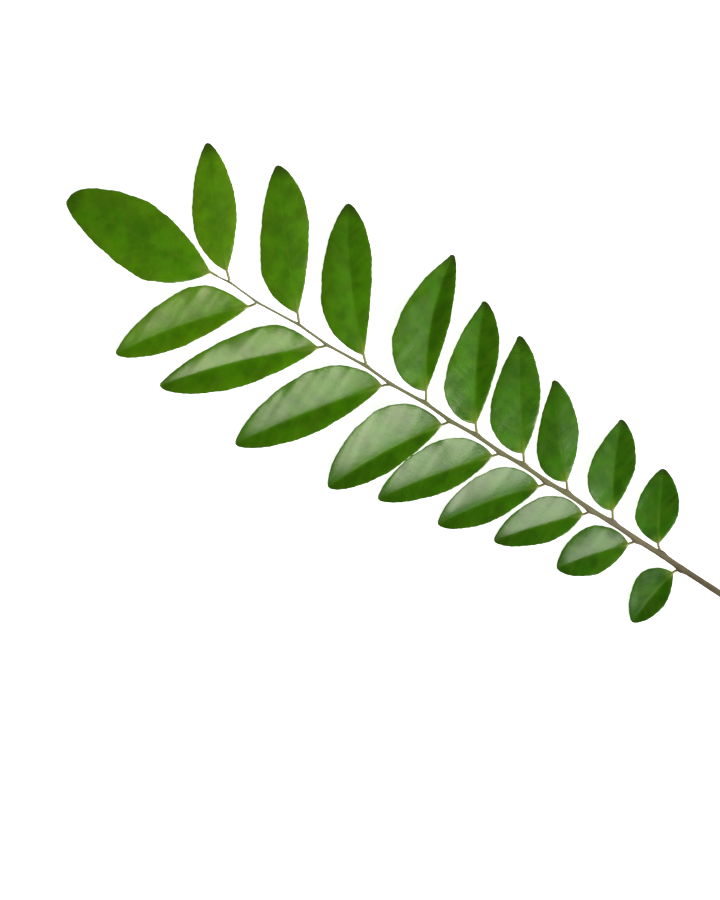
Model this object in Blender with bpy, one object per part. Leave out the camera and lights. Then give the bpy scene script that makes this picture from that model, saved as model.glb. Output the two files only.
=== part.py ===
"""Curry leaf sprig: one picked compound leaf, lying on its underside with its top face up.

The leaf stalk and the rachis are one stem along +X, from the cut base to the terminal leaflet.
Eighteen side leaflets alternate along it, nine to the left (+Y) and nine to the right (-Y).
Each leaflet is one solid with its own short stalk. Metres and degrees, resting on Z = 0.
"""

import math
from collections import namedtuple

import bmesh
import bpy
from mathutils import Vector

LEFT = 1
RIGHT = -1

# Stem: a bare stalk with a swollen, cut base, then the rachis that carries the leaflets.
STEM_LENGTH = 0.1785
STEM_BASE_RADIUS = 0.0015
STEM_STALK_RADIUS = 0.00092
STEM_END_RADIUS = 0.00024
STEM_TAPER = 1.05
STEM_SWOLLEN = 0.0070
STEM_RISE = 0.0026
STEM_RISE_LENGTH = 0.0450
STEM_SAG = 0.0006
STEM_BOW = 0.0009
STEM_ZIGZAG = 0.0004
STEM_SIDES = 10
BARE_STALK_POINTS = (0.0, 0.0020, 0.0040, 0.0070, 0.0130, 0.0190)
NODE_SWELL = 1.18
NODE_HALF_LENGTH = 0.0012

# Leaflet stalks. A reach is the distance from the stem's axis to the base of the blade, and a
# step is how far the stalk rises or falls on the way.
LEFT_STALK_REACH = 0.0027
RIGHT_STALK_REACH = 0.0035
LEFT_STALK_STEP = -0.0020
RIGHT_STALK_STEP = 0.0000
STALK_RADIUS = 0.00038
STALK_GAP = 0.0003

# Blades. Each half leans up from the midrib, less near its base and its tip, and the tip hangs
# a little. Arch scale makes a midrib stand as high above its chord as its row says.
BLADE_THICKNESS = 0.00042
MARGIN_THINNING = 3
TIP_THICKNESS_SHARE = 0.3
TIP_THINNING = 6.0
TIP_DROOP = 0.0002
DROOP_START = 0.84
BASE_FOLD_SHARE = 0.70
FOLD_RAMP = 0.35
TIP_FOLD_SHARE = 0.75
TIP_FOLD_START = 0.75
ARCH_SCALE = 2.1
BLADE_STATIONS = (0.03, 0.08, 0.15, 0.24, 0.34, 0.45, 0.56, 0.67, 0.77, 0.86, 0.93, 0.98)
TOP_POINTS = (-1.0, -0.66, -0.3, 0.0, 0.3, 0.66, 1.0)

# The outline of half a blade grows from nothing at the base to its full width at its peak, and
# shrinks to nothing at the tip. A power of 2 with a round of 0.5 is a quarter of an ellipse,
# and a round near 1 is a wedge with curved sides.
Half = namedtuple("Half", "base_power base_round tip_power tip_round")
BROAD_FRONT = Half(2.0, 0.65, 1.7, 0.75)
WEDGE_FRONT = Half(2.0, 1.05, 1.4, 0.75)
OVAL_FRONT = Half(2.0, 0.80, 1.5, 0.70)
POINTED_FRONT = Half(2.0, 0.55, 1.5, 0.95)
LEFT_BACK = Half(1.6, 0.80, 1.9, 0.62)
RIGHT_BACK = Half(1.6, 0.88, 2.0, 0.67)
TERMINAL_FRONT = Half(1.6, 0.90, 1.6, 0.42)
TERMINAL_BACK = Half(1.6, 0.75, 1.5, 0.68)
LEFT_FRONTS = (BROAD_FRONT,) * 7 + (WEDGE_FRONT,) * 2
RIGHT_FRONTS = (OVAL_FRONT,) + (POINTED_FRONT,) * 5 + (OVAL_FRONT,) * 3

# One row for each leaflet, counted from the cut base. The front half of a blade faces the tip
# of the sprig and the back half its base. Station is the place on the stem, front and back are
# the widths of the halves, and a peak is where a half is widest, as a share of the length.
# Stalk and heading are the angles of the little stalk and of the midrib's chord to the stem,
# and turn is how far the midrib curves backwards over its length. A rise is how steeply a half
# leans up from the midrib, and a level is the share of that lean it loses by its margin. Arch is
# how far the midrib stands above its chord, and tip is the height of the tip.
Leaflet = namedtuple(
    "Leaflet",
    "station length front back front_peak back_peak stalk heading turn"
    " front_rise back_rise front_level back_level arch tip",
)
LEFT_LEAFLETS = (
    Leaflet(0.0254, 0.0180, 0.0067, 0.0046, 0.38, 0.50, 56, 83, 10, 1.5, 24, -5, 0.4, 0.0010, 0.0006),
    Leaflet(0.0402, 0.0213, 0.0080, 0.0058, 0.45, 0.50, 56, 51, 8, 16, 20, 0.6, 0.4, 0.0003, 0.0024),
    Leaflet(0.0554, 0.0260, 0.0080, 0.0055, 0.38, 0.42, 56, 49, 8, 18, 26, -0.1, 0.4, 0.0002, 0.0018),
    Leaflet(0.0700, 0.0303, 0.0085, 0.0060, 0.36, 0.54, 56, 53, 14, 7, 29, -2.3, 0.4, 0.0003, 0.0014),
    Leaflet(0.0853, 0.0342, 0.0092, 0.0057, 0.38, 0.46, 50, 53, 8, 14, 21, -0.5, 0.4, 0.0001, 0.0003),
    Leaflet(0.1020, 0.0364, 0.0117, 0.0062, 0.37, 0.56, 54, 61, 12, 10, 34, -0.7, 0.4, 0.0006, 0.0020),
    Leaflet(0.1216, 0.0442, 0.0110, 0.0065, 0.38, 0.53, 42, 54, 8, 16, 20, 0.0, 0.4, 0.0002, 0.0000),
    Leaflet(0.1424, 0.0458, 0.0087, 0.0076, 0.30, 0.54, 45, 46, 14, 23, 25, 0.6, 0.4, 0.0000, 0.0024),
    Leaflet(0.1653, 0.0397, 0.0096, 0.0060, 0.36, 0.56, 54, 52, 15, 11, 18, 0.0, 0.4, 0.0002, 0.0018),
)
RIGHT_LEAFLETS = (
    Leaflet(0.0321, 0.0210, 0.0068, 0.0057, 0.38, 0.46, 38, 62, 8, -8, 18, 2.5, 0.4, 0.0004, 0.0018),
    Leaflet(0.0485, 0.0258, 0.0076, 0.0061, 0.36, 0.52, 54, 64, 15, 17, 17, 0.3, 0.4, 0.0006, 0.0010),
    Leaflet(0.0635, 0.0286, 0.0071, 0.0057, 0.29, 0.50, 50, 51, 6, -6, -13, 0.4, 0.2, 0.0008, 0.0030),
    Leaflet(0.0780, 0.0330, 0.0090, 0.0057, 0.33, 0.51, 53, 56, 4, 11, 2, 0.5, 0.4, 0.0006, 0.0020),
    Leaflet(0.0935, 0.0346, 0.0091, 0.0063, 0.31, 0.59, 49, 62, 14, 16, 19, 0.0, 0.4, 0.0006, 0.0014),
    Leaflet(0.1105, 0.0394, 0.0102, 0.0056, 0.34, 0.51, 58, 69, 28, 12, 28, 0.4, 0.4, 0.0010, 0.0020),
    Leaflet(0.1299, 0.0429, 0.0090, 0.0065, 0.36, 0.62, 42, 52, 16, 13, 10, 1.7, 0.4, 0.0008, 0.0002),
    Leaflet(0.1520, 0.0418, 0.0083, 0.0069, 0.32, 0.63, 48, 50, 3, -2, -5, 0.4, 0.4, 0.0006, 0.0018),
    Leaflet(0.1747, 0.0364, 0.0069, 0.0061, 0.38, 0.50, 42, 49, 8, -1, -8, 0.4, 0.4, 0.0006, 0.0012),
)
TERMINAL_LEAFLET = Leaflet(
    STEM_LENGTH, 0.0452, 0.0098, 0.0105, 0.55, 0.38, 2, 6, 2, 2, 3, 0.4, 0.4, 0.0006, 0.0000
)
TERMINAL_STALK_REACH = 0.0025

# Base colour, roughness and metallic value of each kind of piece.
STEM_FINISH = ((0.205, 0.165, 0.075), 0.55, 0.0)
YOUNG_BLADE_FINISH = ((0.085, 0.200, 0.008), 0.38, 0.0)
OLD_BLADE_FINISH = ((0.035, 0.120, 0.006), 0.38, 0.0)


def clear_scene():
    for obj in list(bpy.data.objects):
        bpy.data.objects.remove(obj, do_unlink=True)


def finish_material(name, finish):
    colour, roughness, metallic = finish
    material = bpy.data.materials.new(name)
    material.use_nodes = True
    shader = material.node_tree.nodes["Principled BSDF"]
    shader.inputs["Base Color"].default_value = (*colour, 1.0)
    shader.inputs["Roughness"].default_value = roughness
    shader.inputs["Metallic"].default_value = metallic
    return material


def blade_material(name, station):
    """Blades are darkest at the base of the sprig and brighten towards its tip."""
    share = station / STEM_LENGTH
    old, roughness, metallic = OLD_BLADE_FINISH
    young = YOUNG_BLADE_FINISH[0]
    colour = tuple(o + (y - o) * share for o, y in zip(old, young))
    return finish_material(name, (colour, roughness, metallic))


def smooth(value):
    """0 below 0, 1 above 1, and an even S between them."""
    value = min(max(value, 0.0), 1.0)
    return value * value * (3 - 2 * value)


# Stem


def stem_radius(x):
    to_tip = (STEM_LENGTH - x) / STEM_LENGTH
    rachis = STEM_END_RADIUS + (STEM_STALK_RADIUS - STEM_END_RADIUS) * to_tip**STEM_TAPER
    return rachis + (STEM_BASE_RADIUS - rachis) * (1 - smooth(x / STEM_SWOLLEN))


def stem_height(x):
    """The cut base lies on the ground, and the leaflets hold the rachis clear of it."""
    climb = math.sin(math.pi / 2 * min(x / STEM_RISE_LENGTH, 1.0))
    past = max(x - STEM_RISE_LENGTH, 0.0) / (STEM_LENGTH - STEM_RISE_LENGTH)
    return STEM_BASE_RADIUS + STEM_RISE * climb - STEM_SAG * past**2


def stem_point(x, side=0):
    """The axis of the stem. At a leaflet it bends a little towards that leaflet's side."""
    bow = STEM_BOW * math.sin(math.pi * x / STEM_LENGTH)
    return Vector((x, side * STEM_ZIGZAG * x / STEM_LENGTH - bow, stem_height(x)))


def make_stem():
    nodes = [(leaf.station, LEFT) for leaf in LEFT_LEAFLETS]
    nodes += [(leaf.station, RIGHT) for leaf in RIGHT_LEAFLETS]
    points = [(stem_point(x), stem_radius(x)) for x in BARE_STALK_POINTS]
    for station, side in sorted(nodes):
        for offset, swell in ((-NODE_HALF_LENGTH, 1.0), (0.0, NODE_SWELL), (NODE_HALF_LENGTH, 1.0)):
            x = station + offset
            points.append((stem_point(x, side), stem_radius(x) * swell))
    points.append((stem_point(STEM_LENGTH), STEM_END_RADIUS))

    curve = bpy.data.curves.new("stem", "CURVE")
    curve.dimensions = "3D"
    curve.bevel_depth = 1.0
    curve.bevel_resolution = (STEM_SIDES - 4) // 2
    curve.use_fill_caps = True
    spline = curve.splines.new("POLY")
    spline.points.add(len(points) - 1)
    for point, (place, radius) in zip(spline.points, points):
        point.co = (*place, 1.0)
        point.radius = radius
    spline.use_smooth = True
    curve.materials.append(finish_material("stem", STEM_FINISH))
    stem = bpy.data.objects.new("stem", curve)
    bpy.context.collection.objects.link(stem)
    return stem


# Leaflets


def half_width(u, width, peak, half):
    """The width of half a blade at the share u of its length."""
    if u < peak:
        return width * (1 - (1 - u / peak) ** half.base_power) ** half.base_round
    return width * (1 - ((u - peak) / (1 - peak)) ** half.tip_power) ** half.tip_round


def level(angle):
    return Vector((math.cos(angle), math.sin(angle), 0.0))


class Midrib:
    """The straight stalk of a leaflet, then its midrib: an arc in plan, a low arch in height."""

    def __init__(self, leaf, side, reach, step):
        self.leaf = leaf
        self.side = side
        self.turn = side * math.radians(leaf.turn)
        self.first = side * math.radians(leaf.heading) - self.turn / 2
        self.away = level(side * math.radians(leaf.stalk))
        at_end = leaf.station >= STEM_LENGTH
        origin = stem_point(leaf.station, 0 if at_end else side)
        surface = 0.0 if at_end else stem_radius(leaf.station) * NODE_SWELL
        slant = 1.0 if at_end else abs(self.away.y)
        start = (surface + STALK_GAP + (0.0 if at_end else STALK_RADIUS * self.away.x)) / slant
        lift = Vector((0.0, 0.0, step))
        self.root = origin + self.away * start + lift * (start / reach) ** 2
        self.base = origin + self.away * reach + lift

    def point(self, u):
        bend = self.leaf.length / self.turn
        angle = self.first + self.turn * u
        x = bend * (math.sin(angle) - math.sin(self.first))
        y = bend * (math.cos(self.first) - math.cos(angle))
        hang = max((u - DROOP_START) / (1 - DROOP_START), 0.0)
        z = (self.leaf.tip - self.base.z) * u + ARCH_SCALE * self.leaf.arch * u * (1 - u**3)
        z -= TIP_DROOP * (hang**2 - u)
        return self.base + Vector((x, y, z))

    def forward(self, u):
        """The level direction from the midrib towards the front half."""
        return level(self.first + self.turn * u - self.side * math.pi / 2)


def blade_ring(midrib, u, front_half, back_half):
    """A closed section: over the top from the back margin to the front one, then underneath."""
    leaf = midrib.leaf
    fold = BASE_FOLD_SHARE + (1 - BASE_FOLD_SHARE) * smooth(u / FOLD_RAMP)
    fold *= 1 - (1 - TIP_FOLD_SHARE) * smooth((u - TIP_FOLD_START) / (1 - TIP_FOLD_START))
    front_width = half_width(u, leaf.front, leaf.front_peak, front_half)
    back_width = half_width(u, leaf.back, leaf.back_peak, back_half)
    front = (front_width, leaf.front_rise, leaf.front_level)
    back = (back_width, leaf.back_rise, leaf.back_level)
    near_tip = min(1.0, TIP_THICKNESS_SHARE + TIP_THINNING * (1 - u))
    top, under = [], []
    for share in TOP_POINTS:
        width, rise, level_share = front if share > 0 else back
        slope = math.radians(rise) * fold * (1 - level_share * abs(share) / 2)
        across = midrib.forward(u) * (share * width * math.cos(slope))
        up = Vector((0.0, 0.0, abs(share) * width * math.sin(slope)))
        thickness = BLADE_THICKNESS * (1 - abs(share) ** MARGIN_THINNING) * near_tip
        lift = Vector((0.0, 0.0, thickness / 2))
        top.append(midrib.point(u) + across + up + lift)
        under.append(midrib.point(u) + across + up - lift)
    return top + under[-2:0:-1]


def stalk_ring(midrib, centre):
    """A round section with its points in the same order as a blade's."""
    across = Vector((midrib.away.y, -midrib.away.x, 0.0)) * midrib.side
    count = 2 * len(TOP_POINTS) - 2
    ring = []
    for index in range(count):
        angle = math.pi - 2 * math.pi * index / count
        out = across * math.cos(angle) + Vector((0.0, 0.0, math.sin(angle)))
        ring.append(centre + out * STALK_RADIUS)
    return ring


def make_leaflet(name, midrib, front_half, back_half):
    middle = (midrib.root + midrib.base) / 2
    rings = [stalk_ring(midrib, centre) for centre in (midrib.root, middle, midrib.base)]
    rings += [blade_ring(midrib, u, front_half, back_half) for u in BLADE_STATIONS]

    shape = bmesh.new()
    loops = [[shape.verts.new(place) for place in ring] for ring in rings]
    tip = shape.verts.new(midrib.point(1.0))
    shape.faces.new(loops[0])
    for near, far in zip(loops, loops[1:]):
        for a, b, c, d in zip(near, near[1:] + near[:1], far[1:] + far[:1], far):
            shape.faces.new((a, b, c, d))
    for a, b in zip(loops[-1], loops[-1][1:] + loops[-1][:1]):
        shape.faces.new((a, b, tip))
    bmesh.ops.recalc_face_normals(shape, faces=shape.faces)
    mesh = bpy.data.meshes.new(name)
    shape.to_mesh(mesh)
    shape.free()
    mesh.shade_smooth()
    mesh.materials.append(blade_material(name, midrib.leaf.station))
    leaflet = bpy.data.objects.new(name, mesh)
    bpy.context.collection.objects.link(leaflet)
    return leaflet


def centre_on_ground(pieces):
    """Hangs the pieces on one empty, with the origin under the middle of their bounding box."""
    bpy.context.view_layer.update()
    graph = bpy.context.evaluated_depsgraph_get()
    corners = [Vector(corner) for piece in pieces for corner in piece.evaluated_get(graph).bound_box]
    low = Vector(min(corner[axis] for corner in corners) for axis in range(3))
    high = Vector(max(corner[axis] for corner in corners) for axis in range(3))
    sprig = bpy.data.objects.new("sprig", None)
    sprig.location = (-(low.x + high.x) / 2, -(low.y + high.y) / 2, -low.z)
    bpy.context.collection.objects.link(sprig)
    for piece in pieces:
        piece.parent = sprig


def main():
    clear_scene()
    pieces = [make_stem()]
    for number, (leaf, front) in enumerate(zip(LEFT_LEAFLETS, LEFT_FRONTS), 1):
        midrib = Midrib(leaf, LEFT, LEFT_STALK_REACH, LEFT_STALK_STEP)
        pieces.append(make_leaflet(f"leaflet_left_{number}", midrib, front, LEFT_BACK))
    for number, (leaf, front) in enumerate(zip(RIGHT_LEAFLETS, RIGHT_FRONTS), 1):
        midrib = Midrib(leaf, RIGHT, RIGHT_STALK_REACH, RIGHT_STALK_STEP)
        pieces.append(make_leaflet(f"leaflet_right_{number}", midrib, front, RIGHT_BACK))
    midrib = Midrib(TERMINAL_LEAFLET, LEFT, TERMINAL_STALK_REACH, 0.0)
    pieces.append(make_leaflet("leaflet_terminal", midrib, TERMINAL_FRONT, TERMINAL_BACK))
    centre_on_ground(pieces)


main()
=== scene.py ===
"""Curry leaf sprig: one picked compound leaf, lying on its underside on a white table.

Lengths are in metres and angles in degrees. The stem runs along +X from its cut end, and every
piece is worked out from the cut end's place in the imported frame.
"""

from collections import namedtuple

import bpy
import numpy as np
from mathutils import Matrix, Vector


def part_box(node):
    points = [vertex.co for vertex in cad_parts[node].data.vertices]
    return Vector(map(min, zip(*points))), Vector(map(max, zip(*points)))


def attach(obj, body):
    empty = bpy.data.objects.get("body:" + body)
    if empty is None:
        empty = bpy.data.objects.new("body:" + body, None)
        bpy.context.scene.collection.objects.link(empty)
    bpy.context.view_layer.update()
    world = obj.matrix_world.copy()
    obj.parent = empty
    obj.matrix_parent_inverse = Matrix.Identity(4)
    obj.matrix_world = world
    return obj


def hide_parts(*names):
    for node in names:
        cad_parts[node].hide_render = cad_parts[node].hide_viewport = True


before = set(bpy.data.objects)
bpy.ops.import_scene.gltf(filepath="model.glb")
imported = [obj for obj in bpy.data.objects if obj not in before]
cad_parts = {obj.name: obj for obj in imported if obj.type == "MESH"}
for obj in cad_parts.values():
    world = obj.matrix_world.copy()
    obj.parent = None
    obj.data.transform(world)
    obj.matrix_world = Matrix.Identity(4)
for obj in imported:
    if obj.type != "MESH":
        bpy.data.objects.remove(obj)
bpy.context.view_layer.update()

# Stem ----------------------------------------------------------------------------------------
# The leaf stalk and the rachis are one thin green shoot, skinned over with tan and mauve-brown
# cork. It was cut through its swollen base, and it bends and thickens a little at each leaflet.

STEM_LENGTH = 0.1785
STEM_BASE_RADIUS = 0.0015
STEM_STALK_RADIUS = 0.00092
STEM_END_RADIUS = 0.00024
STEM_SWOLLEN = 0.0070
STEM_RISE = 0.0026
STEM_RISE_LENGTH = 0.0450
STEM_SAG = 0.0006
STEM_BOW = 0.0009
STEM_ZIGZAG = 0.0004
STEM_TAPER = 1.05
STEM_PAST_LAST_NODE = 0.0012
STEM_RINGS = 620
STEM_RING_POINTS = 40
RIDGES = 5
RIDGE_SHARE = 0.035
RIDGE_TWIST = 40.0
UNEVEN_SHARE = 0.02
UNEVEN_RATE = 900.0
CHANNEL_SHARE = 0.09
CHANNEL_WIDTH = 0.30
BEND_LENGTH = 0.0030
NODE_LENGTH = 0.0013
NODE_OFFSET = 0.0004
NODE_SWELLING = 0.10
NODE_BULGE = 0.55
CUT_DISH = 0.00012
LEFT_NODES = (0.0254, 0.0402, 0.0554, 0.0700, 0.0853, 0.1020, 0.1216, 0.1424, 0.1653)
RIGHT_NODES = (0.0321, 0.0485, 0.0635, 0.0780, 0.0935, 0.1105, 0.1299, 0.1520, 0.1747)
LEFT, RIGHT = 1, -1


def smooth(value, low, high):
    """0 below low, 1 above high, and an even S between them."""
    value = np.clip((value - low) / (high - low), 0.0, 1.0)
    return value * value * (3 - 2 * value)


def hump(distance, width):
    """A bell curve: 1 at no distance, and about a third at one width."""
    return np.exp(-((distance / width) ** 2))


def stem_radius(x):
    """Tapers from the bare stalk to the tip, and swells over the first few millimetres."""
    to_tip = np.clip(1 - x / STEM_LENGTH, 0.0, 1.0)
    rachis = STEM_END_RADIUS + (STEM_STALK_RADIUS - STEM_END_RADIUS) * to_tip**STEM_TAPER
    return rachis + (STEM_BASE_RADIUS - rachis) * (1 - smooth(x, 0.0, STEM_SWOLLEN))


def stem_axis(x):
    """The middle line: a quarter sine up from the table, a slow sideways bow, and a shallow
    zigzag that leans to the side of each leaflet, averaged over 3 mm so that it has no kinks."""
    places = np.concatenate([[0.0], LEFT_NODES, RIGHT_NODES, [STEM_LENGTH]])
    sides = np.concatenate([[0], [LEFT] * len(LEFT_NODES), [RIGHT] * len(RIGHT_NODES), [0]])
    order = np.argsort(places)
    lean = (sides * STEM_ZIGZAG * places / STEM_LENGTH)[order]
    spread = np.linspace(-BEND_LENGTH / 2, BEND_LENGTH / 2, 9)
    zigzag = np.interp(x[..., None] + spread, places[order], lean).mean(-1)
    y = zigzag - STEM_BOW * np.sin(np.pi * x / STEM_LENGTH)
    climb = np.sin(np.pi / 2 * np.minimum(x / STEM_RISE_LENGTH, 1.0))
    past = np.maximum(x - STEM_RISE_LENGTH, 0.0) / (STEM_LENGTH - STEM_RISE_LENGTH)
    return np.stack([x, y, STEM_BASE_RADIUS + STEM_RISE * climb - STEM_SAG * past**2], -1)


# The cut face leans back with the stem's rise, so its top is the lowest x of the stem's box. The
# stem bows away from its left side, so the swollen cut end is also the highest y.
stem_low, stem_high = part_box("stem")
base_tilt = STEM_RISE * np.pi / 2 / STEM_RISE_LENGTH
cut_end = np.array([
    stem_low.x + STEM_BASE_RADIUS * base_tilt,
    stem_high.y - STEM_BASE_RADIUS,
    0.0,
])


def skin(name, rings, **coordinates):
    """A closed skin over a grid of points: each ring is joined to the next by quads, and both
    ends are closed by a fan to the middle of the last ring. The other arrays are grids of the
    same shape, kept as attributes for the finish to read."""
    count, around = rings.shape[:2]
    ring = np.arange(around)
    after = np.roll(ring, -1)
    start = around * np.arange(count - 1)[:, None]
    quads = np.stack([start + ring, start + ring + around, start + after + around, start + after], -1)
    last = around * (count - 1)
    poles = around * count + np.arange(2)
    first_fan = np.stack([ring, after, np.full(around, poles[0])], -1)
    last_fan = np.stack([last + after, last + ring, np.full(around, poles[1])], -1)

    def with_poles(grid):
        return np.concatenate([grid.reshape(-1, 3), grid[[0, -1]].mean(1)])

    mesh = bpy.data.meshes.new(name)
    faces = quads.reshape(-1, 4).tolist() + first_fan.tolist() + last_fan.tolist()
    mesh.from_pydata((with_poles(rings) + cut_end).tolist(), [], faces)
    for key, grid in coordinates.items():
        attribute = mesh.attributes.new(key, "FLOAT_VECTOR", "POINT")
        attribute.data.foreach_set("vector", with_poles(grid).ravel())
    mesh.shade_smooth()
    piece = bpy.data.objects.new(name, mesh)
    bpy.context.scene.collection.objects.link(piece)
    return piece


def stem_skin():
    """A round profile carried along the middle line. Soft ridges and a channel on top press the
    circle, each leaflet's node bulges towards its side, and the first rings are the cut face,
    which is dished a little and runs from the pith out to the rim."""
    x = np.linspace(0.0, STEM_LENGTH + STEM_PAST_LAST_NODE, STEM_RINGS)[:, None]
    turn = np.linspace(0.0, 2 * np.pi, STEM_RING_POINTS, endpoint=False)[None, :]
    ridge = RIDGE_SHARE * np.sin(RIDGES * turn + RIDGE_TWIST * x)
    radius = stem_radius(x) * (1 + ridge + UNEVEN_SHARE * np.sin(UNEVEN_RATE * x))
    radius = radius * (1 - CHANNEL_SHARE * hump(turn - np.pi / 2, CHANNEL_WIDTH))
    for nodes, side in ((LEFT_NODES, LEFT), (RIGHT_NODES, RIGHT)):
        facing = np.clip(np.cos(turn) * side, 0.0, 1.0) ** 2
        for node in nodes:
            at_node = hump(x - node - NODE_OFFSET, NODE_LENGTH)
            radius = radius * (1 + (NODE_SWELLING + NODE_BULGE * facing) * at_node)
    axis = stem_axis(x[:, 0])
    along = np.gradient(axis, axis=0)
    along /= np.linalg.norm(along, axis=1, keepdims=True)
    across = np.stack([-along[:, 1], along[:, 0], np.zeros(len(along))], -1)
    across /= np.linalg.norm(across, axis=1, keepdims=True)
    up = np.cross(along, across)
    profile = across[:, None] * np.cos(turn)[..., None] + up[:, None] * np.sin(turn)[..., None]
    tube = axis[:, None] + profile * radius[..., None]

    inward = np.linspace(0.03, 0.97, 9)[:, None]
    dish = CUT_DISH * np.sin(np.pi * inward[..., None]) * along[0]
    cut = axis[0] + profile[0] * (radius[0] * inward)[..., None] + dish
    rings = np.concatenate([cut, tube])
    depth = np.concatenate([STEM_BASE_RADIUS * (inward - 1), x]) + 0 * turn
    whorl = np.stack([np.cos(turn) + 0 * depth, np.sin(turn) + 0 * depth, depth], -1)
    return skin("rachis", rings, whorl=whorl)


class Wire:
    """One output of a node. Each sum, difference or product adds a Math node."""

    def __init__(self, finish, socket):
        self.finish = finish
        self.socket = socket

    def maths(self, operation, first, second):
        return self.finish.node("ShaderNodeMath", {"operation": operation}, {0: first, 1: second})

    def __add__(self, other):
        return self.maths("ADD", self, other)

    def __sub__(self, other):
        return self.maths("SUBTRACT", self, other)

    def __rsub__(self, other):
        return self.maths("SUBTRACT", other, self)

    def __mul__(self, other):
        return self.maths("MULTIPLY", self, other)

    __radd__ = __add__
    __rmul__ = __mul__


class Finish:
    """A material with one Principled shader. Every other node comes from node()."""

    def __init__(self, name, **constants):
        self.material = bpy.data.materials.new(name)
        self.material.use_nodes = True
        self.tree = self.material.node_tree
        self.shader = self.tree.nodes["Principled BSDF"]
        for socket, value in constants.items():
            self.shader.inputs[socket.replace("_", " ")].default_value = value

    def feed(self, socket, value):
        if isinstance(value, Wire):
            self.tree.links.new(value.socket, socket)
        elif socket.type == "RGBA":
            socket.default_value = (*value, 1.0)
        else:
            socket.default_value = value

    def node(self, kind, settings, sockets, output=0):
        made = self.tree.nodes.new(kind)
        for name, value in settings.items():
            setattr(made, name, value)
        for key, value in sockets.items():
            self.feed(made.inputs[key], value)
        return Wire(self, made.outputs[output])

    def attribute(self, name):
        """The three numbers of an attribute, each as a wire."""
        vector = self.node("ShaderNodeAttribute", {"attribute_name": name}, {}, "Vector")
        split = self.node("ShaderNodeSeparateXYZ", {}, {"Vector": vector})
        return [Wire(self, output) for output in split.socket.node.outputs]

    def place(self):
        return self.node("ShaderNodeTexCoord", {}, {}, "Object")

    def vector(self, x, y, z):
        return self.node("ShaderNodeCombineXYZ", {}, {"X": x, "Y": y, "Z": z})

    def noise(self, vector, scale, detail=2.0, roughness=0.5):
        sockets = {"Vector": vector, "Scale": scale, "Detail": detail, "Roughness": roughness}
        return self.node("ShaderNodeTexNoise", {}, sockets)

    def ramp(self, value, low, high):
        """0 below low, 1 above high, and an even S between them."""
        sockets = {"Value": value, "From Min": low, "From Max": high}
        return self.node("ShaderNodeMapRange", {"interpolation_type": "SMOOTHSTEP"}, sockets)

    def mix(self, share, first, second):
        """The colour between two colours."""
        sockets = {"Factor": share, 6: first, 7: second}
        return self.node("ShaderNodeMix", {"data_type": "RGBA"}, sockets, 2)

    def bump(self, height, distance, normal=None):
        sockets = {"Height": height, "Distance": distance}
        if normal:
            sockets["Normal"] = normal
        return self.node("ShaderNodeBump", {}, sockets)

    def set(self, **wires):
        for socket, wire in wires.items():
            self.feed(self.shader.inputs[socket.replace("_", " ")], wire)
        return self.material


def stem_finish():
    """Tan cork over green, streaked along the stem, mauve towards the base and greener towards the
    tip, with pale corky specks and a painted highlight along its top. The cut face is pale green with
    a ring of fibres."""
    finish = Finish("stem_cork", Specular_IOR_Level=0.25)
    around, over, depth = finish.attribute("whorl")
    streak = finish.noise(finish.vector(around * 1.6, over * 1.6, depth * 130), 1.0, 4.0, 0.6)
    patch = finish.noise(finish.vector(around * 0.5, over * 0.5, depth * 320), 1.0, 3.0, 0.6)
    speck = finish.noise(finish.place(), 2600.0, 2.0)
    mauve = finish.mix(finish.ramp(depth, 0.020, 0.045), (0.064, 0.040, 0.019), (0.150, 0.108, 0.082))
    cork = finish.mix(finish.ramp(depth, 0.055, 0.080), mauve, (0.110, 0.108, 0.036))
    paler = 0.32 + finish.ramp(depth, 0.020, 0.060) * 0.48
    tan = finish.mix(finish.ramp(streak, 0.38, 0.62) * paler, cork, (0.182, 0.158, 0.074))
    green = finish.mix(finish.ramp(patch, 0.50, 0.72) * paler, tan, (0.110, 0.135, 0.030))
    # Painted highlight: the upward side of the stem is painted paler where the light falls on it, more
    # so away from the base.
    top_highlight_share = 0.10 + finish.ramp(depth, 0.02, 0.06) * 0.35 + finish.ramp(depth, 0.09, 0.16) * 0.35
    lit = finish.mix(finish.ramp(over, 0.55, 1.0) * top_highlight_share, green, (0.230, 0.230, 0.105))
    dotted = finish.mix(finish.ramp(speck, 0.66, 0.74) * 0.5, lit, (0.26, 0.23, 0.14))

    from_rim = 0 - depth
    fibre = finish.noise(finish.vector(around * 6, over * 6, depth * 900), 1.0, 3.0)
    pith = finish.mix(finish.ramp(fibre, 0.35, 0.65), (0.40, 0.42, 0.20), (0.60, 0.58, 0.36))
    wood = finish.mix(finish.ramp(from_rim, 0.0004, 0.0007), (0.30, 0.33, 0.11), pith)
    face = finish.mix(finish.ramp(from_rim, 0.00008, 0.00022), (0.12, 0.09, 0.04), wood)
    is_cut = finish.ramp(from_rim, 0.0, 0.00006)
    height = streak * 0.7 + speck * 0.3
    return finish.set(
        Base_Color=finish.mix(is_cut, dotted, face),
        Roughness=0.50 + streak * 0.2,
        Normal=finish.bump(height, 0.00010),
    )


stem = stem_skin()
stem.data.materials.append(stem_finish())
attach(stem, "root")
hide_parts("stem")

# Leaflets ------------------------------------------------------------------------------------
# Each leaflet is one leathery green blade on a short stalk. Its halves fold up a little from the
# sunken midrib, its margins are finely scalloped, and its blunt tip hangs towards the table.

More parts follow.
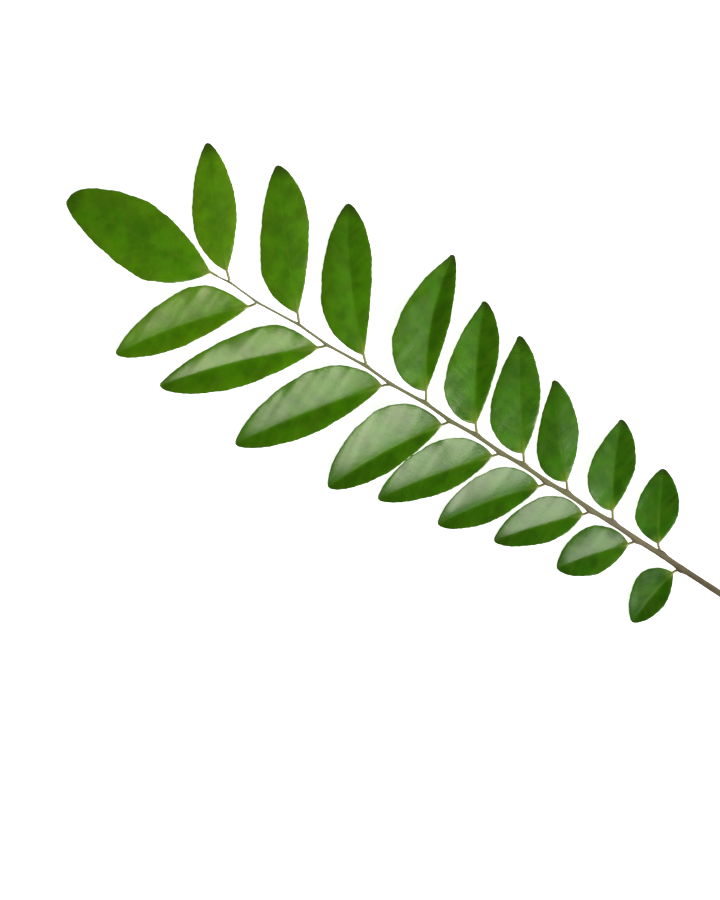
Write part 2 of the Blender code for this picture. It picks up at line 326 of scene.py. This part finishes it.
LEFT_STALK_REACH = 0.0027
RIGHT_STALK_REACH = 0.0035
TERMINAL_STALK_REACH = 0.0025
LEFT_STALK_STEP = -0.0020
RIGHT_STALK_STEP = 0.0000
STALK_RADIUS = 0.00038
BLADE_THICKNESS = 0.00042
BLADE_TIP_RADIUS = 0.0008
THIN_LENGTH = 0.0045
STALK_TO_BLADE = 0.07
SWELLING_FADE = 0.09
LOWEST_POINT = 0.00003
ARCH_SCALE = 2.1
TIP_DROOP = 0.0002
DROOP_START = 0.84
BASE_FOLD_SHARE = 0.70
FOLD_RAMP = 0.35
TIP_FOLD_SHARE = 0.75
TIP_FOLD_START = 0.75
FOLD_ROUNDING = 0.00080
MARGIN_WANDER = 0.018
MARGIN_WANDER_LENGTH = 0.0085
SCALLOP_DEPTH = 0.00009
SCALLOP_LENGTH = 0.0021
RIPPLE_HEIGHT = 0.00011
RIPPLE_LENGTH = 0.0140
SLANTED_RIPPLE_HEIGHT = 0.000045
SLANTED_RIPPLE_LENGTH = 0.0090
RIB_HEIGHT = 0.00040
RIB_WIDTH = 0.00042
GROOVE_DEPTH = 0.00003
GROOVE_WIDTH = 0.00045
VEIN_SPACING = 0.0026
VEIN_SLANT = 0.75
VEIN_CURVE = 28.0
VEIN_WANDER = 0.25
VEIN_WANDER_LENGTH = 0.0110
VEIN_DOME = 0.0000035
OLD_GREEN = (0.019, 0.108, 0.0002)
YOUNG_GREEN = (0.053, 0.188, 0.0002)
NEWEST_EXTRA = (0.020, 0.032, 0.0)
END_LEAFLET_YOUTH = 0.85
# How dark each side's leaflet tips are painted: painted shade where the tip hangs away from the light.
LEFT_TIP_PAINTED_SHADE = 0.40
RIGHT_TIP_PAINTED_SHADE = 0.95
STALK_ROWS = 14
BLADE_ROWS = 110
TOP_POINTS = 57

Half = namedtuple("Half", "base_power base_round tip_power tip_round")
BROAD_FRONT = Half(2.0, 0.65, 1.7, 0.75)
WEDGE_FRONT = Half(2.0, 1.05, 1.4, 0.75)
OVAL_FRONT = Half(2.0, 0.80, 1.5, 0.70)
POINTED_FRONT = Half(2.0, 0.55, 1.5, 0.95)
LEFT_BACK = Half(1.6, 0.80, 1.9, 0.62)
RIGHT_BACK = Half(1.6, 0.88, 2.0, 0.67)
TERMINAL_FRONT = Half(1.6, 0.90, 1.6, 0.42)
TERMINAL_BACK = Half(1.6, 0.75, 1.5, 0.68)
LEFT_FRONTS = (BROAD_FRONT,) * 7 + (WEDGE_FRONT,) * 2
RIGHT_FRONTS = (OVAL_FRONT,) + (POINTED_FRONT,) * 5 + (OVAL_FRONT,) * 3

# One row for each leaflet, from the cut end. The front half faces the tip of the sprig. Front and
# back are the widths of the halves and a peak is where one is widest, as a share of the length.
# Stalk and heading are the angles of the stalk and of the midrib's chord to the stem, and turn is
# how far the midrib curves backwards. A rise is how steeply a half leans up from the midrib, and a
# level is the share of that lean it loses by its margin. Arch is how far the midrib stands above
# its chord, and tip is the height of the tip.
Leaflet = namedtuple(
    "Leaflet",
    "length front back front_peak back_peak stalk heading turn"
    " front_rise back_rise front_level back_level arch tip",
)
LEFT_LEAFLETS = (
    Leaflet(0.0180, 0.0067, 0.0046, 0.38, 0.50, 56, 83, 10, 1.5, 24, -5, 0.4, 0.0010, 0.0006),
    Leaflet(0.0213, 0.0080, 0.0058, 0.45, 0.50, 56, 51, 8, 16, 20, 0.6, 0.4, 0.0003, 0.0024),
    Leaflet(0.0260, 0.0080, 0.0055, 0.38, 0.42, 56, 49, 8, 18, 26, -0.1, 0.4, 0.0002, 0.0018),
    Leaflet(0.0303, 0.0085, 0.0060, 0.36, 0.54, 56, 53, 14, 7, 29, -2.3, 0.4, 0.0003, 0.0014),
    Leaflet(0.0342, 0.0092, 0.0057, 0.38, 0.46, 50, 53, 8, 14, 21, -0.5, 0.4, 0.0001, 0.0003),
    Leaflet(0.0364, 0.0117, 0.0062, 0.37, 0.56, 54, 61, 12, 10, 34, -0.7, 0.4, 0.0006, 0.0020),
    Leaflet(0.0442, 0.0110, 0.0065, 0.38, 0.53, 42, 54, 8, 16, 20, 0.0, 0.4, 0.0002, 0.0000),
    Leaflet(0.0458, 0.0087, 0.0076, 0.30, 0.54, 45, 46, 14, 23, 25, 0.6, 0.4, 0.0000, 0.0024),
    Leaflet(0.0397, 0.0096, 0.0060, 0.36, 0.56, 54, 52, 15, 11, 18, 0.0, 0.4, 0.0002, 0.0018),
)
RIGHT_LEAFLETS = (
    Leaflet(0.0210, 0.0068, 0.0057, 0.38, 0.46, 38, 62, 8, -8, 18, 2.5, 0.4, 0.0004, 0.0018),
    Leaflet(0.0258, 0.0076, 0.0061, 0.36, 0.52, 54, 64, 15, 17, 17, 0.3, 0.4, 0.0006, 0.0010),
    Leaflet(0.0286, 0.0071, 0.0057, 0.29, 0.50, 50, 51, 6, -6, -13, 0.4, 0.2, 0.0008, 0.0030),
    Leaflet(0.0330, 0.0090, 0.0057, 0.33, 0.51, 53, 56, 4, 11, 2, 0.5, 0.4, 0.0006, 0.0020),
    Leaflet(0.0346, 0.0091, 0.0063, 0.31, 0.59, 49, 62, 14, 16, 19, 0.0, 0.4, 0.0006, 0.0014),
    Leaflet(0.0394, 0.0102, 0.0056, 0.34, 0.51, 58, 69, 28, 12, 28, 0.4, 0.4, 0.0010, 0.0020),
    Leaflet(0.0429, 0.0090, 0.0065, 0.36, 0.62, 42, 52, 16, 13, 10, 1.7, 0.4, 0.0008, 0.0002),
    Leaflet(0.0418, 0.0083, 0.0069, 0.32, 0.63, 48, 50, 3, -2, -5, 0.4, 0.4, 0.0006, 0.0018),
    Leaflet(0.0364, 0.0069, 0.0061, 0.38, 0.50, 42, 49, 8, -1, -8, 0.4, 0.4, 0.0006, 0.0012),
)
TERMINAL_LEAFLET = Leaflet(
    0.0452, 0.0098, 0.0105, 0.55, 0.38, 2, 6, 2, 2, 3, 0.4, 0.4, 0.0006, 0.0000
)


def half_width(u, width, peak, half):
    """Grows from nothing at the base to its full width at its peak, as a power of a power of the
    distance, and shrinks to nothing at the tip in the same way."""
    before = 1 - np.clip(1 - u / peak, 0.0, 1.0) ** half.base_power
    after = 1 - np.clip((u - peak) / (1 - peak), 0.0, 1.0) ** half.tip_power
    return width * before**half.base_round * after**half.tip_round


def waves(distance, length, chance):
    """A slow uneven wave: three sines of about this length with phases drawn by chance."""
    lengths = length * np.array([1.0, 0.63, 0.41])
    phases = chance.uniform(0, 2 * np.pi, 3)
    shares = np.array([0.55, 0.30, 0.15])
    return (shares * np.sin(2 * np.pi * distance[..., None] / lengths + phases)).sum(-1)


def spine(leaf, node, side, reach, step):
    """The middle line of stalk and blade. The stalk leaves the stem's axis as a Hermite curve
    that ends along the midrib. The midrib is an arc in plan, and in height a chord with a low
    arch on it that is steepest at the tip."""
    at_end = node >= STEM_LENGTH
    start = stem_axis(np.array([node]))[0]
    stalk = side * np.radians(leaf.stalk)
    turn = side * np.radians(leaf.turn)
    first = side * np.radians(leaf.heading) - turn / 2
    base = start + reach * np.array([np.cos(stalk), np.sin(stalk), 0.0]) + [0.0, 0.0, step]

    u = np.linspace(0.0, 1.0, BLADE_ROWS)
    x = leaf.length / turn * (np.sin(first + turn * u) - np.sin(first))
    y = leaf.length / turn * (np.cos(first) - np.cos(first + turn * u))
    droop = TIP_DROOP * (np.clip((u - DROOP_START) / (1 - DROOP_START), 0.0, 1.0) ** 2 - u)
    z = (leaf.tip - base[2]) * u + ARCH_SCALE * leaf.arch * u * (1 - u**3) - droop
    midrib = base + np.stack([x, y, z], -1)

    t = np.linspace(0.12 if at_end else 0.2, 1.0, STALK_ROWS, endpoint=False)[:, None]
    leave = reach * np.array([np.cos(stalk), np.sin(stalk), 0.0])
    arrive = reach * (midrib[1] - midrib[0]) / np.linalg.norm(midrib[1] - midrib[0])
    stalk_line = (
        (2 * t**3 - 3 * t**2 + 1) * start
        + (t**3 - 2 * t**2 + t) * leave
        + (3 * t**2 - 2 * t**3) * base
        + (t**3 - t**2) * arrive
    )
    shares = np.concatenate([(t[:, 0] - 1) * reach / leaf.length, u])
    return np.concatenate([stalk_line, midrib]), shares


def leaflet_skin(name, leaf, node, side, reach, step, halves, chance):
    """A closed section carried along the middle line: round on the stalk, then a thin V with its
    rounded point at the midrib. Each half leans up less near its base and its tip, and most lose
    some of that lean by the margin. The blade is domed a little between side veins, waves towards
    its margins, and thins to half over its last few millimetres."""
    line, u = spine(leaf, node, side, reach, step)
    u = u[:, None]
    on_blade = np.clip(u, 0.0, 1.0)
    bladed = smooth(u, 0.0, STALK_TO_BLADE)
    along = on_blade * leaf.length

    # The way round a section: from the back margin over the top to the front one, then under.
    # Its points crowd at the midrib and the margins of the blade, and at the sides of the stalk.
    q = np.linspace(-1.0, 1.0, TOP_POINTS)
    q = np.concatenate([q, q[-2:0:-1]])[None, :]
    flat_v = q - 0.75 * np.sin(2 * np.pi * q) / (2 * np.pi)
    round_v = np.sin(np.pi / 2 * q)
    v = round_v + (flat_v - round_v) * bladed
    top = np.concatenate([np.ones(TOP_POINTS), -np.ones(TOP_POINTS - 2)])[None, :]
    away = np.abs(v)

    # How wide each half is. Neither is narrower than the stalk, and the tip is a blunt round.
    from_tip = (1 - on_blade) * leaf.length
    blunt = np.sqrt(1 - np.clip(1 - from_tip / BLADE_TIP_RADIUS, 0.0, 1.0) ** 2)
    core = (STALK_RADIUS + (BLADE_TIP_RADIUS - STALK_RADIUS) * on_blade) * blunt
    widths = []
    for width, peak, half in zip((leaf.front, leaf.back), (leaf.front_peak, leaf.back_peak), halves):
        edge = half_width(on_blade, width, peak, half)
        edge = edge * (1 + MARGIN_WANDER * waves(along, MARGIN_WANDER_LENGTH, chance))
        scallop = np.abs(np.sin(np.pi * along / SCALLOP_LENGTH + chance.uniform(0, np.pi)))
        edge = np.maximum(edge - SCALLOP_DEPTH * scallop * smooth(edge, 0.0005, 0.002), 0.0)
        widths.append((edge**4 + core**4) ** 0.25)
    across = np.where(v > 0, widths[0], widths[1]) * v

    # How steeply each half leans up, and how far out from the rounded point of the V it has run.
    lean = BASE_FOLD_SHARE + (1 - BASE_FOLD_SHARE) * smooth(u, 0.0, FOLD_RAMP)
    lean = lean * (1 - (1 - TIP_FOLD_SHARE) * smooth(u, TIP_FOLD_START, 1.0))
    rise = np.radians(np.where(v > 0, leaf.front_rise, leaf.back_rise))
    level = np.where(v > 0, leaf.front_level, leaf.back_level)
    slope = rise * lean * (1 - level * away / 2) * smooth(u, 0.0, 0.03)
    run = np.sqrt(across**2 + FOLD_ROUNDING**2) - FOLD_ROUNDING

    # The count of side veins from the base. The halves' veins alternate, and all of them wander.
    vein = (along - VEIN_SLANT * np.abs(across) - VEIN_CURVE * across**2) / VEIN_SPACING
    wander = waves(along + 0.3 * np.abs(across), VEIN_WANDER_LENGTH, chance)
    vein = vein + VEIN_WANDER * wander + 0.5 * (v > 0)
    field = smooth(away, 0.05, 0.3) * (1 - away**6) * bladed
    dome = VEIN_DOME * (np.sin(np.pi * vein) ** 2 - 0.5) * field
    ripple = RIPPLE_HEIGHT * waves(along, RIPPLE_LENGTH, chance) * away**2
    slanted = waves(along + 1.3 * across, SLANTED_RIPPLE_LENGTH, chance)
    ripple = ripple + SLANTED_RIPPLE_HEIGHT * slanted * away
    ripple = ripple * bladed * smooth(from_tip, 0.0, 0.006)

    # Half the thickness: a circle on the stalk, then a thin sheet that is closed at its margins,
    # with a groove over the midrib, a rib under it, and a swelling where the stalk runs in.
    thin = 0.5 + 0.5 * smooth(from_tip, 0.0, THIN_LENGTH)
    closed = np.sqrt(1 - away**8)
    sheet = BLADE_THICKNESS / 2 * thin * closed
    shaft = STALK_RADIUS * np.sqrt(1 - away**2)
    swell = (STALK_RADIUS - BLADE_THICKNESS / 2) * hump(on_blade, SWELLING_FADE)
    rib = np.where(
        top > 0,
        (swell - GROOVE_DEPTH * smooth(u, 0.05, 0.3) * thin) * hump(across, GROOVE_WIDTH),
        (swell + RIB_HEIGHT * (1 - on_blade) ** 0.8 * thin) * hump(across, RIB_WIDTH),
    )
    half_thickness = shaft + (sheet + rib * closed - shaft) * bladed

    heading = np.gradient(line[:, :2], axis=0)
    heading /= np.linalg.norm(heading, axis=1, keepdims=True)
    forward = side * np.stack([heading[:, 1], -heading[:, 0]], -1)
    rings = np.empty((*v.shape, 3))
    rings[..., :2] = line[:, None, :2] + forward[:, None] * (across * np.cos(slope))[..., None]
    rings[..., 2] = line[:, None, 2] + run * np.sin(slope) + dome + ripple + top * half_thickness
    rings[..., 2] = np.maximum(rings[..., 2], LOWEST_POINT)

    flat = 0 * v + 0 * u
    lamina = np.stack([u + flat, v + flat, top + flat], -1)
    veins = np.stack([vein, across, along + flat], -1)
    return skin(name, rings, lamina=lamina, veins=veins)


def blade_finish(name, youth, tip_painted_shade, chance):
    """Waxy green skin, a little mottled, with a paler midrib, faint side veins and fine oil glands,
    and painted shade that darkens it gently along its length and more at the tip. A young blade is
    brighter than an old one, glossier, and yellower at its margins. The underside is paler and dull,
    with its veins raised."""
    age = 1 - youth
    gloss = 0.65 - age**8 + 0.40 * youth**12
    gloss_tint = (1.0, 0.96, 0.86 - 0.30 * youth**3, 1.0)
    finish = Finish(name, Specular_IOR_Level=gloss, Specular_Tint=gloss_tint)
    share, half, top = finish.attribute("lamina")
    vein, across, along = finish.attribute("veins")
    place = finish.place()
    off = chance.uniform(0, 10)
    shifted = finish.node("ShaderNodeVectorMath", {"operation": "ADD"}, {0: place, 1: (off, off, 0)})
    mottle = finish.noise(shifted, 170.0, 3.0, 0.55)
    grain = finish.noise(shifted, 3200.0, 3.0, 0.6)
    cloud = finish.noise(finish.vector(vein + off, across * 170, along * 60), 1.0, 2.0, 0.5)
    gland = finish.node(
        "ShaderNodeTexVoronoi", {"feature": "F1"}, {"Vector": shifted, "Scale": 1500.0}, "Distance"
    )
    dot = 1 - finish.ramp(gland, 0.12, 0.34)

    distance = finish.node("ShaderNodeMath", {"operation": "ABSOLUTE"}, {0: across})
    is_top = finish.ramp(top, -0.4, 0.4)
    near_base = 1 - finish.ramp(share, 0.0, 0.85)
    midrib = 1 - finish.ramp(distance, 0.00005, 0.00080)
    phase = finish.node("ShaderNodeMath", {"operation": "PINGPONG"}, {0: vein, 1: 0.5})
    side_vein = (1 - finish.ramp(phase, 0.0, 0.12)) * finish.ramp(distance, 0.0002, 0.0009)
    margin = finish.node("ShaderNodeMath", {"operation": "ABSOLUTE"}, {0: half})
    rim = finish.ramp(margin, 0.90, 1.0)
    tip = finish.ramp(share, 0.86, 1.0)
    stalk = 1 - finish.ramp(share, -0.01, 0.03)

    fresh = [
        old + (young - old) * youth**0.8 + newest * youth**8
        for old, young, newest in zip(OLD_GREEN, YOUNG_GREEN, NEWEST_EXTRA)
    ]
    tipward_painted_shade, deep, light = ([c * tone for c in fresh] for tone in (0.50, 0.76, 1.26))
    blade = finish.mix(finish.ramp(mottle, 0.32, 0.68), deep, light)
    # Painted shade: the blade is darkened gradually along its length towards the tip, which slopes
    # away from the light.
    blade = finish.mix(finish.ramp(share, 0.0, 0.9) * 0.35, blade, tipward_painted_shade)
    blade = finish.mix(finish.ramp(margin, 0.2, 0.9) * (0.30 * youth**4), blade, (0.125, 0.230, 0.001))
    blade = finish.mix(side_vein * 0.05, blade, (0.095, 0.205, 0.005))
    blade = finish.mix(dot * 0.08, blade, (0.110, 0.230, 0.003))
    blade = finish.mix(rim * 0.25, blade, (0.080, 0.165, 0.002))
    blade = finish.mix(finish.ramp(cloud, 0.35, 0.70) * 0.28, blade, (0.090, 0.185, 0.006))
    # Painted shade: the end of the blade darkened towards its tip, where it hangs away from the light.
    blade = finish.mix(tip * tip_painted_shade, blade, (0.022, 0.052, 0.002))
    blade = finish.mix(midrib * (0.05 + near_base * 0.22), blade, (0.105, 0.215, 0.008))
    neck = (1 - finish.ramp(share, 0.0, 0.16)) * (1 - finish.ramp(distance, 0.0002, 0.0030))
    blade = finish.mix(neck * 0.75, blade, (0.180, 0.290, 0.030))

    under = finish.mix(finish.ramp(mottle, 0.3, 0.7), (0.120, 0.210, 0.065), (0.165, 0.265, 0.095))
    under = finish.mix(side_vein * 0.45, under, (0.215, 0.300, 0.120))
    under = finish.mix(dot * 0.30, under, (0.075, 0.150, 0.035))
    under = finish.mix(midrib * 0.8, under, (0.300, 0.360, 0.150))
    faces = finish.mix(is_top, under, blade)
    petiole = finish.mix(finish.ramp(mottle, 0.4, 0.6), (0.290, 0.255, 0.115), (0.245, 0.290, 0.085))

    relief = mottle * 0.25 + cloud * 0.40 + side_vein * (0.6 - is_top) * 0.25 + dot * 0.05
    broad = finish.bump(relief, 0.00010)
    return finish.set(
        Base_Color=finish.mix(stalk, faces, petiole),
        Roughness=0.54 - is_top * (0.31 - 0.14 * age**4) + grain * 0.06,
        Normal=finish.bump(grain, 0.000020, broad),
    )


def grow(name, leaf, node, side, reach, step, halves, tip_painted_shade):
    """Side leaflets are younger towards the tip of the sprig, but the end leaflet is a little
    older than the ones beside it."""
    youth = node / STEM_LENGTH if node < STEM_LENGTH else END_LEAFLET_YOUTH
    chance = np.random.default_rng(round(node * 1e4))
    node_name = f"leaflet_{name}"
    piece = leaflet_skin(f"{name}_blade", leaf, node, side, reach, step, halves, chance)
    piece.data.materials.append(blade_finish(f"{name}_green", youth, tip_painted_shade, chance))
    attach(piece, "root")
    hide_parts(node_name)


for number, (node, leaf, front) in enumerate(zip(LEFT_NODES, LEFT_LEAFLETS, LEFT_FRONTS), 1):
    reach, step, halves = LEFT_STALK_REACH, LEFT_STALK_STEP, (front, LEFT_BACK)
    grow(f"left_{number}", leaf, node, LEFT, reach, step, halves, LEFT_TIP_PAINTED_SHADE)
for number, (node, leaf, front) in enumerate(zip(RIGHT_NODES, RIGHT_LEAFLETS, RIGHT_FRONTS), 1):
    reach, step, halves = RIGHT_STALK_REACH, RIGHT_STALK_STEP, (front, RIGHT_BACK)
    grow(f"right_{number}", leaf, node, RIGHT, reach, step, halves, RIGHT_TIP_PAINTED_SHADE)
reach, step, halves = TERMINAL_STALK_REACH, 0.0, (TERMINAL_FRONT, TERMINAL_BACK)
grow("terminal", TERMINAL_LEAFLET, STEM_LENGTH, LEFT, reach, step, halves, LEFT_TIP_PAINTED_SHADE)

# Table, light and camera ---------------------------------------------------------------------
# The sprig lies on a wide white table. A broad soft light stands beyond its cut end, and a
# weaker one lies low at its right side. The camera looks straight down, turned so that the sprig
# points up to the left.

TABLE_SIZE = 12.0
TABLE_CLEARANCE = 0.00002
TABLE_GLOW = 0.85
VIEW_HEIGHT = 1.20
VIEW_SPAN = 0.252
VIEW_CENTRE = (0.1192, 0.0197)
SPRIG_ANGLE = 147.7
SENSOR = 36.0

Light = namedtuple("Light", "strength breadth from_zenith azimuth")
KEY_LIGHT = Light(3.4, 46.0, 43.0, 165.0)
FILL_LIGHT = Light(2.0, 20.0, 72.0, 250.0)


def make_table():
    half = TABLE_SIZE / 2
    corners = [(-half, -half), (half, -half), (half, half), (-half, half)]
    mesh = bpy.data.meshes.new("table")
    mesh.from_pydata([(x, y, -TABLE_CLEARANCE) for x, y in corners], [], [(0, 1, 2, 3)])
    finish = Finish("table_white", Roughness=0.9, Specular_IOR_Level=0.1, Emission_Strength=TABLE_GLOW)
    mesh.materials.append(finish.set(Base_Color=(0.88, 0.88, 0.87), Emission_Color=(1.0, 1.0, 1.0)))
    table = bpy.data.objects.new("table", mesh)
    bpy.context.scene.collection.objects.link(table)


def make_light(name, light):
    sun = bpy.data.lights.new(name, "SUN")
    sun.energy = light.strength
    sun.angle = np.radians(light.breadth)
    lamp = bpy.data.objects.new(name, sun)
    lamp.rotation_euler = (0.0, np.radians(light.from_zenith), np.radians(light.azimuth))
    bpy.context.scene.collection.objects.link(lamp)


def make_world():
    """Near black above, so that the flat blades keep their colour, and pale at the horizon."""
    world = bpy.data.worlds.new("studio")
    world.use_nodes = True
    tree = world.node_tree
    background = tree.nodes["Background"]
    ramp = tree.nodes.new("ShaderNodeValToRGB")
    ramp.color_ramp.elements[0].position = 0.06
    ramp.color_ramp.elements[0].color = (0.85, 0.85, 0.85, 1.0)
    ramp.color_ramp.elements[1].position = 0.30
    ramp.color_ramp.elements[1].color = (0.02, 0.02, 0.02, 1.0)
    split = tree.nodes.new("ShaderNodeSeparateXYZ")
    place = tree.nodes.new("ShaderNodeTexCoord")
    tree.links.new(place.outputs["Generated"], split.inputs[0])
    tree.links.new(split.outputs["Z"], ramp.inputs[0])
    tree.links.new(ramp.outputs[0], background.inputs["Color"])
    bpy.context.scene.world = world


def make_camera():
    lens = bpy.data.cameras.new("camera")
    lens.sensor_width = SENSOR
    lens.lens = SENSOR * VIEW_HEIGHT / VIEW_SPAN
    lens.clip_end = 20.0
    camera = bpy.data.objects.new("camera", lens)
    camera.location = (*(cut_end[:2] + VIEW_CENTRE), VIEW_HEIGHT)
    camera.rotation_euler = (0.0, 0.0, -np.radians(SPRIG_ANGLE))
    bpy.context.scene.collection.objects.link(camera)
    bpy.context.scene.camera = camera


make_table()
make_light("key_light", KEY_LIGHT)
make_light("fill_light", FILL_LIGHT)
make_world()
make_camera()
bpy.context.scene.view_settings.view_transform = "Standard"
